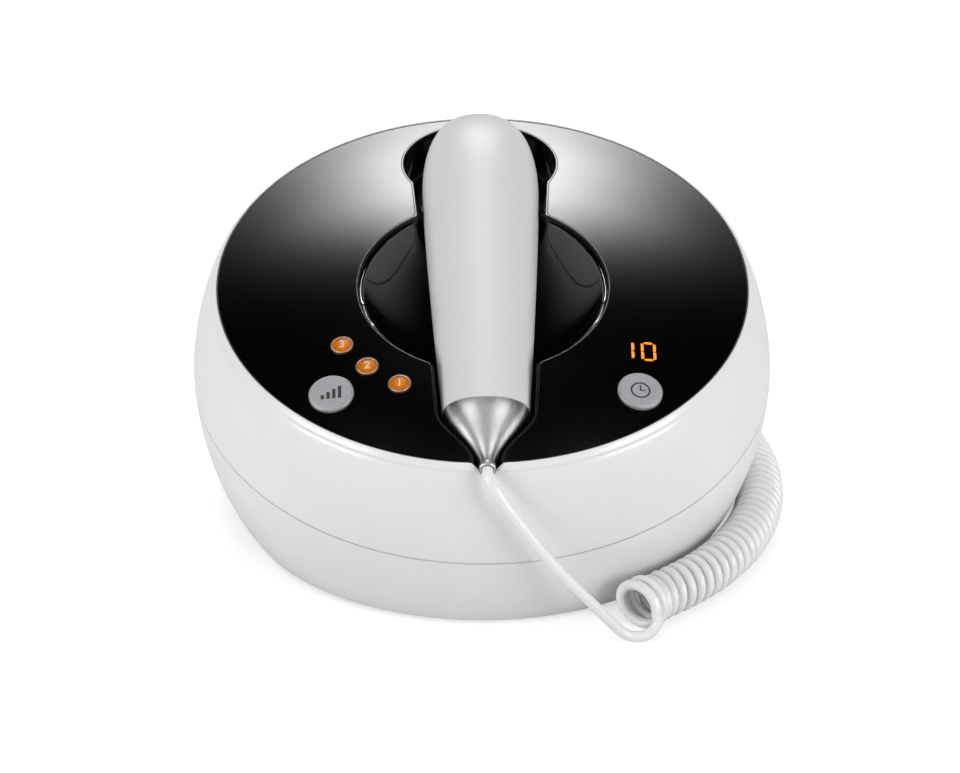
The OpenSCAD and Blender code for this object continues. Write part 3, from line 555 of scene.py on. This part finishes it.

# dark core, painted shade that shows in the grooves round the cone and between the shells; it
# takes the dark_module look
core = [section(y, half_w(y) * CORE_W, top_h(y) * CORE_H, bottom_h(y) * CORE_H)
        for y in [TAIL_Y - CORE_PAST] + handle_ys()[:-2]]
new_object("groove_shadow", lofted(core), "dark_module", "handpiece")

cone = []
for i in range(CONE_RINGS + 1):
    t = 1 - i / CONE_RINGS
    flare = 1 - (t + smooth(t)) / 2
    w, up, down = (TIP_R + (size - TIP_R) * flare for size in (TAIL_W, TAIL_TOP, TAIL_BOTTOM))
    cone.append(section(TAIL_Y - CONE_GAP - (CONE_L - CONE_GAP) * t, w, up, down))
new_object("cone_skin", lofted(cone), "brushed_cone", "handpiece", ("tail_cone",), crease=40)

# collar that the cord comes out of, along the handle's axis
COLLAR = ((0, 0.12), (BUSH_R - 0.3, 0.12), (BUSH_R, 0.4), (BUSH_R + 0.05, 1.1),
          (BUSH_R, 1.75), (BUSH_R - 0.2, 2.1), (BUSH_R - 0.45, BUSH_L),
          (CORD_D / 2 + 0.15, BUSH_L - 0.15), (CORD_D / 2 + 0.05, 1.2), (0, 1.2))
at_tip = (panel_matrix() @ Matrix.Translation((0, TIP_Y, TIP_Z))
          @ Matrix.Rotation(math.pi / 2 + HANDLE_PITCH, 4, "X"))
new_object("cord_collar", lathed(COLLAR, 48), "bright_ring", "handpiece", ("cord_bush",),
           at_tip, crease=50)

# ---------------------------------------------------------------- upper shell
RIM_R = PANEL_R + 0.4
SEAM = 0.3                     # width of the groove between the shells
SEAM_EDGE, SEAM_DEPTH = 0.15, 1.6
SHOULDER_STEP = 3
# the rolled lip round the panel, as (beyond the panel, height)
LIP = ((0.5, -5), (0.46, -1), (0.48, -0.1), (0.54, 0.1), (0.66, 0.18), (0.84, 0.1),
       (1.15, -0.22), (1.5, -0.6), (1.78, -1.02), (2, -1.42), (2.1, -1.68), (2.1, -1.86),
       (2.07, -2.05), (2.14, -2.3))

NOTCH_W, NOTCH_Z, NOTCH_RISE, NOTCH_EXP = 4.6, -3.5, 3.9, 2.1
NOTCH_REACH, NOTCH_DEEPEST = 7, -4.9   # only points within and above these are cut down
NOTCH_ROUND = 0.12
GROOVE_REACH, GROOVE_DEPTH, GROOVE_W = 14, 0.9, 3.4
GROOVE_Z, GROOVE_L = -17, 13           # the groove below the notch fades in over this
GROOVE_R, GROOVE_EDGE = 81, 1.5        # and out towards the panel over this
HALF_COUNT, FRONT_CROWD = 110, 1.8     # points of half a ring, crowding to the notch


def shoulder(a):
    """Outline of the shoulder in the panel frame, 90 degrees at the rim and 0 at the girth."""
    c, s = math.cos(math.radians(a)), math.sin(math.radians(a))
    return (RIM_R + (GIRTH_R - RIM_R) * c ** (2 / SHOULDER_EXP),
            -GIRTH_Z + GIRTH_Z * s ** (2 / SHOULDER_EXP))


def wall_r(z):
    """Radius of the lower wall at that depth."""
    return BELLY_R + (GIRTH_R - BELLY_R) * (
        1 - ((z - GIRTH_Z) / (BELLY_Z - GIRTH_Z)) ** BELLY_EXP) ** (1 / BELLY_EXP)


def in_notch(r, z, angle):
    """Moves a point of the turned shell into the notch and the groove that fades below it."""
    x, y = r * math.cos(angle), r * math.sin(angle)
    if y > 0 or abs(x) > GROOVE_REACH:
        return Vector((x, y, z))
    if z > NOTCH_DEEPEST and abs(x) < NOTCH_REACH:
        gap = NOTCH_Z + NOTCH_RISE * (abs(x) / NOTCH_W) ** NOTCH_EXP - z
        z = z + 0.5 * (gap - math.sqrt(gap * gap + NOTCH_ROUND)) + NOTCH_ROUND / 2
    depth = (GROOVE_DEPTH * math.exp(-(x / GROOVE_W) ** 2)
             * smooth((z - GROOVE_Z) / GROOVE_L) * smooth((r - GROOVE_R) / GROOVE_EDGE))
    return Vector((x, y + depth, z))


seam_r = wall_r(SEAM_Z)
shell_profile = (
    [(PANEL_R + out, z) for out, z in LIP]
    + [shoulder(a) for a in range(69, -1, -SHOULDER_STEP)]
    + [(wall_r(z), -z) for z in (32, SEAM_Z - SEAM - SEAM_EDGE)]
    + [(seam_r - SEAM_EDGE, -SEAM_Z + SEAM), (seam_r - SEAM_DEPTH, -SEAM_Z + SEAM),
       (seam_r - SEAM_DEPTH, -20), (84, -12)])
turns = [i / HALF_COUNT for i in range(-HALF_COUNT, HALF_COUNT)]
angles = [-math.pi / 2 + math.copysign(abs(t) ** FRONT_CROWD, t) * math.pi for t in turns]
rings = [[in_notch(r, z, a) for a in angles] for r, z in shell_profile]
new_object("shell_skin", lofted(rings + rings[:1], (False, False)), "white_shell", "base",
           ("upper_shell",), crease=50)

# dark strip in the gap between the panel and the lip, painted shade, open at the notch
GAP_SHADE = ((0.02, -1), (0.02, -0.12), (0.25, -0.2), (0.52, -0.12), (0.52, -1))
GAP_SHADE_STEPS, GAP_SHADE_CLEAR = 160, 1
open_a = math.asin((NOTCH_W + GAP_SHADE_CLEAR) / PANEL_R)
rings = []
for i in range(GAP_SHADE_STEPS + 1):
    a = -math.pi / 2 + open_a + 2 * (math.pi - open_a) * i / GAP_SHADE_STEPS
    rings.append([Vector(((PANEL_R + out) * math.cos(a), (PANEL_R + out) * math.sin(a), z))
                  for out, z in GAP_SHADE])
new_object("rim_gap_shade", lofted(rings), "seam_shadow", "base", crease=50)

# floor of the groove between the shells, grey as painted shade
FLOOR_IN, FLOOR_BACK, FLOOR_OVER = 0.28, 1.2, 0.3
top, low = -SEAM_Z + SEAM + FLOOR_OVER, -SEAM_Z - FLOOR_OVER
corners = [(seam_r - FLOOR_IN, top), (seam_r - FLOOR_IN, low), (seam_r - FLOOR_BACK, low),
           (seam_r - FLOOR_BACK, top)]
new_object("seam_floor", lathed(corners + corners[:1], 160, hollow=True), "seam_shade_grey", "base")

# ---------------------------------------------------------------- edge of the panel's opening
OUTLINE_START, OUTLINE_STEP, ROUNDINGS = 0.15, 0.7, 3
TRACE, TRACE_FINE = 0.1, 0.02          # steps along the outline, finer at the pocket's back
# section of the edge, as (towards the panel, up) from the opening's outline
EDGE = ((0.6, 0.02), (0.4, 0.04), (0.1, -0.03), (-0.12, -0.13), (-0.26, -0.3),
        (-0.32, -0.7), (-0.3, -1.9))


def channel_w(y):
    """Half width of the channel at y."""
    if y > CLOSE_Y:
        return CHANNEL_W1 + (CHANNEL_W0 - CHANNEL_W1) * (y - CLOSE_Y) / (NECK_Y - CLOSE_Y)
    return CHANNEL_W1 + (CHANNEL_W2 - CHANNEL_W1) * smooth((CLOSE_Y - y) / CLOSE_L)


def opening_w(y):
    """Half width of the opening at y."""
    w = channel_w(y) if y < NECK_Y else 0
    for centre, r in ((DISH_Y, DISH_R), (POCKET_Y, POCKET_R)):
        if abs(y - centre) < r:
            w = max(w, math.sqrt(r ** 2 - (y - centre) ** 2))
    return w


def opening_outline():
    """Right half of the opening, from the rim to the back of the pocket, evenly spaced."""
    y, top = -PANEL_R + OUTLINE_START, POCKET_Y + POCKET_R
    rough = []
    while y < top:
        rough.append(Vector((opening_w(y), y)))
        y += min(TRACE, TRACE_FINE + (top - y) * TRACE_FINE)
    rough.append(Vector((0, top)))
    out, left = [rough[0]], 0.0
    for a, b in zip(rough, rough[1:]):
        left += (b - a).length
        if left > OUTLINE_STEP:
            out.append(b)
            left = 0.0
    out[-1] = rough[-1]
    for _ in range(ROUNDINGS):
        inner = [(a + 2 * b + c) / 4 for a, b, c in zip(out, out[1:], out[2:])]
        out = [out[0]] + inner + [out[-1]]
    return out


half = opening_outline()
verts = []
for side in (1, -1):
    for i, p in enumerate(half):
        if i == len(half) - 1:
            t = Vector((-1, 0))
        else:
            t = (half[i + 1] - half[max(0, i - 1)]).normalized()
        for off, up in EDGE:
            q = p + off * Vector((t.y, -t.x))
            verts.append(Vector((side * q.x, q.y, dome_z(min(PANEL_R, q.length)) + up)))
right = strip_faces(len(half), len(EDGE), closed=False)
left = [tuple(len(verts) // 2 + k for k in f) for f in right]
new_object("opening_edge", (verts, [tuple(reversed(f)) for f in right] + left), "panel_edge",
           "base", crease=35)

# ---------------------------------------------------------------- cradle
BOWL_RISE = DISH_DEPTH + dome_z(DISH_Y, PANEL_T)
BOWL_R = (DISH_R ** 2 + BOWL_RISE ** 2) / (2 * BOWL_RISE)
CHANNEL_R = CHANNEL_W0 + 1
NOSE_Y, NOSE_FLOOR = CLOSE_Y - 12, -4.4
POCKET_Z = -FACE_Z - REST_GAP
SOFT_BOWL, SOFT_FLOOR = 1.1, 0.35      # how far the edges between surfaces are rounded
NO_BOWL = 60
SLOPE_SIDE, SLOPE_REAR, SLOPE_FRONT, SLOPE_WALL = 4, 6, 8, 12
CHANNEL_FILLET, POCKET_FILLET = (1.3, 0.6), (1.6, 0.7)     # their rise and width
ACROSS, ROW_STEP, ROW_FINE, ROW_SHARE, ROW_END = 40, 0.6, 0.05, 0.12, 5
SADDLE_HALF, SADDLE_SOFT = 1, 0.08     # half length, and the run of its ends
SADDLE_LINE, SADDLE_FAR = 0.04, 100
CREASE_YS = (22.6, 23, -43.4, -43)     # more rows where the channel meets pocket and dish
FLANGE, WALL_IN = 0.3, 0.05


def least(values, k):
    """Smooth minimum, rounding the edge between surfaces over about k."""
    low = min(values)
    return low - k * math.log(sum(math.exp((low - v) / k) for v in values))


def fillet(from_wall, size):
    rise, width = size
    return rise * math.exp(-max(0, from_wall) / width)


def hollow_z(x, y):
    """Height of the cradle's surface in the panel frame."""
    w = channel_w(y)
    over = max(0, abs(x) - w)
    bowl = BOWL_R ** 2 - x * x - (y - DISH_Y) ** 2
    bowl = BOWL_R - DISH_DEPTH - math.sqrt(bowl) if bowl > 0 else NO_BOWL
    inside = min(abs(x), w, CHANNEL_R)
    channel = (CHANNEL_R - CHANNEL_DEPTH - math.sqrt(CHANNEL_R ** 2 - inside ** 2)
               + SLOPE_SIDE * (over + max(0, NOSE_Y - y)) + SLOPE_REAR * max(0, y - POCKET_Y)
               + fillet(w - abs(x), CHANNEL_FILLET))
    z = least((bowl, channel), SOFT_BOWL)
    wall = POCKET_R - math.hypot(x, y - POCKET_Y)
    pocket = POCKET_Z + SLOPE_WALL * max(0, -wall) + fillet(wall, POCKET_FILLET)
    well = WELL_Z + SLOPE_WALL * max(0, math.hypot(x, y - FACE_Y) - WELL_R)
    nose = NOSE_FLOOR + SLOPE_SIDE * over + SLOPE_FRONT * max(0, y - NOSE_Y)
    z = least((z, pocket, well, nose), SOFT_FLOOR)
    if abs(x) < SADDLE_W / 2 and abs(y - SADDLE_Y) <= SADDLE_HALF + 0.01:
        z = max(z, SADDLE_Z)
    return z


def cradle_rows():
    """Where the rows of the cradle's skin lie, closer together at the pocket's back."""
    ys, y, top = [], -PANEL_R + 0.3, POCKET_Y + POCKET_R
    while y < top - 0.02:
        ys.append(y)
        y += ROW_STEP if y < top - ROW_END else max(ROW_FINE, (top - y) * ROW_SHARE)
    ys += [SADDLE_Y + s * e for s in (-1, 1) for e in (SADDLE_HALF, SADDLE_HALF + SADDLE_SOFT)]
    return sorted(ys + list(CREASE_YS))


shares = [math.sin(math.pi / 2 * k / ACROSS) for k in range(-ACROSS, ACROSS + 1)]
saddle_xs = [s * SADDLE_W / 2 + e for s in (-1, 1) for e in (-SADDLE_LINE, SADDLE_LINE)]
rows = []
for y in cradle_rows():
    w = opening_w(y)
    xs = [(w - WALL_IN) * t for t in shares]
    if w > SADDLE_W:                       # grid lines on the saddle's two sides
        for v in saddle_xs:
            away = [abs(x - v) + (SADDLE_FAR if x in saddle_xs else 0) for x in xs]
            xs[away.index(min(away))] = v
        xs.sort()
    top = dome_z(min(PANEL_R, math.hypot(w, y)), PANEL_T)
    ends = [[Vector((s * (w + out), y, top)) for out in (FLANGE, 0)] for s in (-1, 1)]
    rows.append(ends[0] + [Vector((x, y, min(top, hollow_z(x, y)))) for x in xs]
                + ends[1][::-1])
back = POCKET_Y + POCKET_R
rows.append([Vector((p.x, back, dome_z(back, PANEL_T))) for p in rows[-1]])
verts, faces = lofted(rows, (False, False), closed=False)
new_object("cradle_skin", (verts, [tuple(reversed(f)) for f in faces]), "black_tray", "base",
           ("cradle_tray",), crease=50)

# ---------------------------------------------------------------- controls
CAP = ((0, 0.86), (3, 0.84), (5.7, 0.78), (6, 0.76), (6.12, 0.86), (6.3, 0.9), (6.46, 0.84),
       (6.62, 0.62), (6.68, 0.3), (6.68, -1.6), (0, -1.6))
MARK_UP, MARK_T = 0.83, 0.05           # where the buttons' marks stand, and how thick
BAR_COUNT, BAR_W, BAR_STEP, BAR_X, BAR_Y, BAR_H = 4, 1, 1.7, -3, -2.2, 1.5
CLOCK = ((2.45, 0), (2.45, MARK_T), (2.95, MARK_T), (2.95, 0), (2.45, 0))
HANDS = ((-0.22, -0.22), (1.5, -0.22), (1.5, 0.22), (0.22, 0.22), (0.22, 1.9), (-0.22, 1.9))


def on_dome(r, degrees, up=0.0):
    """Matrix of a place on the dome, z along its normal, y towards the panel's rear."""
    a = math.radians(degrees)
    x, y = r * math.sin(a), -r * math.cos(a)
    normal = Vector((x, y, dome_z(r) + DOME_BASE)).normalized()
    right = (Vector((1, 0, 0)) - normal * normal.x).normalized()
    turn = Matrix((right, normal.cross(right), normal)).transposed().to_4x4()
    return (panel_matrix() @ Matrix.Translation((x, y, dome_z(r))) @ turn
            @ Matrix.Translation((0, 0, up)))


def flat_shape(name, outline, place, look, body):
    """A thin plate of that outline, in millimetres, standing on the place."""
    ring = [[Vector((x, y, z)) for x, y in outline] for z in (0, MARK_T)]
    new_object(name, lofted(ring), look, body, matrix=place, flat=True)


for name, side in (("level", -1), ("time", 1)):
    new_object(name + "_cap", lathed(CAP, 72), "silver_button", name + "_key",
               (name + "_button",), on_dome(BUTTON_R, side * BUTTON_A), crease=45)

# rising bars on one button, a clock on the other
place = on_dome(BUTTON_R, -BUTTON_A, MARK_UP)
for i in range(BAR_COUNT):
    x, top = BAR_X + i * BAR_STEP, BAR_Y + BAR_H + i
    bar = ((x, BAR_Y), (x + BAR_W, BAR_Y), (x + BAR_W, top), (x, top))
    flat_shape(f"level_mark_{i}", bar, place, "button_mark", "level_key")
place = on_dome(BUTTON_R, BUTTON_A, MARK_UP)
new_object("time_mark_ring", lathed(CLOCK, 64, hollow=True), "button_mark", "time_key",
           matrix=place, flat=True)
flat_shape("time_mark_hands", HANDS, place, "button_mark", "time_key")

# lenses in their threads, each with its number
LENS = ((0, 0.62), (1, 0.58), (2, 0.42), (2.6, 0.24), (2.95, 0.08), (2.95, -2.5), (0, -2.5))
THREAD_R, THREAD_Z, THREAD_T = 3.06, 0.3, 0.14
THREAD_STEP = 0.785            # an eighth of a turn, in radians
NUMERAL_H, NUMERAL_UP, NUMERAL_T, NUMERAL_BOLD = 3.9, 0.58, 0.04, 0.03
thread = [(THREAD_R + THREAD_T * math.cos(THREAD_STEP * k),
           THREAD_Z + THREAD_T * math.sin(THREAD_STEP * k)) for k in range(9)]


def numeral(text, place):
    """A plain raised numeral, centred on the place."""
    curve = bpy.data.curves.new("numeral", "FONT")
    curve.body, curve.size = text, NUMERAL_H
    curve.align_x, curve.align_y = "CENTER", "CENTER"
    curve.extrude, curve.resolution_u, curve.offset = NUMERAL_T, 4, NUMERAL_BOLD
    source = link_object("numeral", curve)
    bpy.context.view_layer.update()
    depsgraph = bpy.context.evaluated_depsgraph_get()
    mesh = bpy.data.meshes.new_from_object(source.evaluated_get(depsgraph))
    bpy.data.objects.remove(source)
    bpy.data.curves.remove(curve)
    skin = [Vector(v.co) for v in mesh.vertices], [tuple(p.vertices) for p in mesh.polygons]
    bpy.data.meshes.remove(mesh)
    new_object("numeral_" + text, skin, "numeral", "base", matrix=place, flat=True)


for i, text in ((-1, "1"), (0, "2"), (1, "3")):
    r, a = LENS_R - i * LENS_SKEW, -(LENS_A + i * LENS_STEP)
    new_object("lens_" + text, lathed(LENS, 48), "amber_lens", "base",
               ("level_lenses",) if i == 0 else (), on_dome(r, a))
    new_object("lens_thread_" + text, lathed(thread, 48, hollow=True), "bright_ring", "base",
               matrix=on_dome(r, a))
    numeral(text, on_dome(r, a, NUMERAL_UP))

# seven-segment digits of the display
SEG_W, SEG_L, SEG_POINT, SEG_FLAT = 0.92, 2.85, 0.5, 0.8
SEG_UP = 1.595                         # middle of an upright segment above the digit's own
CAP_UP, CAP_L = 3.35, 2.85
ONE_X, ONE_LOW_X, ZERO_X, ZERO_W = -3.15, -3.2, -0.3, 3.65
display = on_dome(DISPLAY_R, DISPLAY_A, 0.02)


def segment(name, x, y, upright=True):
    w, h = SEG_W / 2, (SEG_L if upright else CAP_L) / 2
    if upright:
        shape = [(-w * SEG_FLAT, -h), (w / 2, -h), (w, -h + SEG_POINT), (w, h - SEG_POINT),
                 (w / 2, h), (-w * SEG_FLAT, h)]
    else:
        w *= SEG_FLAT
        shape = [(-h, 0), (-h + SEG_POINT, -w), (h - SEG_POINT, -w), (h, 0),
                 (h - SEG_POINT, w), (-h + SEG_POINT, w)]
    flat_shape("digit_" + name, [(x + a, y + b) for a, b in shape], display, "amber_segment",
               "base")


segment("one_top", ONE_X, SEG_UP)
segment("one_low", ONE_LOW_X, -SEG_UP)
for name, x in (("left", ZERO_X), ("right", ZERO_X + ZERO_W)):
    segment("zero_top_" + name, x, SEG_UP)
    segment("zero_low_" + name, x, -SEG_UP)
segment("zero_cap", ZERO_X + ZERO_W / 2, CAP_UP, False)
segment("zero_foot", ZERO_X + ZERO_W / 2, -CAP_UP, False)

# ---------------------------------------------------------------- carried-over nodes
for sub in frame["record"]["subparts"]:
    node = frame["nodes"][sub["node"]]
    if not node.hide_render:
        paint(node, "lens_ring" if sub["node"] == "lens_rings" else sub["material_slot"])

# ---------------------------------------------------------------- stage and light
FLOOR = 6
FLOOR_GLOW, FLOOR_MIRRORED = 0.54, 0.3     # its glow, and the share of it that gloss sees
floor = bpy.data.meshes.new("floor")
floor.from_pydata([(x * FLOOR, y * FLOOR, 0) for x, y in ((-1, -1), (1, -1), (1, 1), (-1, 1))],
                  [], [(0, 1, 2, 3)])
floor_obj = link_object("floor", floor)
ground = Look("ground")
ground.tint(ground.noise(3), (0.66, 0.66, 0.66), (0.68, 0.68, 0.68))
ground.rough(ground.noise(8), 0.85, 0.95)
ground.put("Specular IOR Level", 0.0).put("Emission Color", (1, 1, 1, 1))
ray = add_node(ground.tree, "LightPath", {}).outputs
seen = calc(ground.tree, "MULTIPLY_ADD", ray["Is Glossy Ray"], FLOOR_MIRRORED,
            ray["Is Camera Ray"])
ground.link("Emission Strength", calc(ground.tree, "MULTIPLY", seen, FLOOR_GLOW))
paint(floor_obj, "ground")

# What gloss mirrors: a soft bright patch low behind the object, dark overhead and a pale
# front. The sky's own light is even. Directions are unit vectors, so their parts are
# sines, and each slope is how fast a part of the sky fades in.
SKY = 0.23
PATCH, PATCH_X, PATCH_W, PATCH_TOP, PATCH_FADE = 6.7, 0.02, 0.107, 0.652, 0.063
PATCH_LOW, PATCH_LOW_SLOPE, PATCH_REAR, PATCH_REAR_SLOPE = 0.3, 3.7, 0.1, 4
RING, RING_TOP, RING_SLOPE = 0.5, 0.4, 8
FRONT, FRONT_BACK, FRONT_SLOPE = 0.4, 0.16, 4

world = bpy.data.worlds.new("studio")
bpy.context.scene.world = world
world.use_nodes = True
sky = world.node_tree
background = sky.nodes["Background"]
background.inputs["Color"].default_value = (1, 1, 1, 1)
where = add_node(sky, "TexCoord", {}).outputs["Generated"]
dx, dy, dz = add_node(sky, "SeparateXYZ", {"Vector": where}).outputs


def difference(a, b):
    return calc(sky, "SUBTRACT", a, b)


def product(a, b, clamp=False):
    return calc(sky, "MULTIPLY", a, b, clamp=clamp)


sideways = calc(sky, "DIVIDE", difference(dx, PATCH_X), PATCH_W)
above = calc(sky, "DIVIDE", calc(sky, "MAXIMUM", difference(dz, PATCH_TOP), 0), PATCH_FADE)
spread = calc(sky, "ADD", product(sideways, sideways), product(above, above))
patch = product(calc(sky, "EXPONENT", product(spread, -0.5)), PATCH)
patch = product(patch, product(difference(dz, PATCH_LOW), PATCH_LOW_SLOPE, clamp=True))
patch = product(patch, product(difference(dy, PATCH_REAR), PATCH_REAR_SLOPE, clamp=True))
ring = product(product(difference(RING_TOP, dz), RING_SLOPE, clamp=True), RING)
front = product(product(difference(FRONT_BACK, dy), FRONT_SLOPE, clamp=True), FRONT)
mirrored = calc(sky, "ADD", patch, calc(sky, "MAXIMUM", ring, front))
ray = add_node(sky, "LightPath", {}).outputs
direct = calc(sky, "MAXIMUM", ray["Is Camera Ray"], ray["Is Transmission Ray"])
even = calc(sky, "ADD", product(direct, 1 - SKY), SKY)
by_gloss = product(difference(mirrored, even), ray["Is Glossy Ray"])
sky.links.new(calc(sky, "ADD", even, by_gloss), background.inputs["Strength"])


def softbox(name, place, aim_z, size, power, mirrored=True):
    """A rectangular lamp, in metres and watts, that points at a height over the origin."""
    lamp = bpy.data.lights.new(name, "AREA")
    lamp.shape = "RECTANGLE"
    lamp.size, lamp.size_y = size
    lamp.energy = power
    obj = link_object(name, lamp)
    obj.location = place
    to_aim = Vector((0, 0, aim_z)) - Vector(place)
    obj.rotation_euler = to_aim.to_track_quat("-Z", "Y").to_euler()
    obj.visible_glossy = mirrored


softbox("top_softbox", (0, -0.6, 1.15), 0.06, (1.0, 0.8), 2.2, False)
softbox("rear_softbox", (0, 0.8, 0.9), 0.08, (1.0, 0.6), 4.6, False)
softbox("strip_light", (0.01, 0.6, 1.12), 0.08, (0.07, 0.3), 1.4)
for side, name in ((-1, "left"), (1, "right")):
    softbox(name + "_softbox", (side * 1.06, -0.7, 0.34), 0.06, (0.7, 0.62), 8.4)
    softbox(name + "_high_softbox", (side * 0.38, -0.09, 1.12), 0.08, (0.26, 0.45), 0.9)

bpy.context.scene.view_settings.view_transform = "Standard"
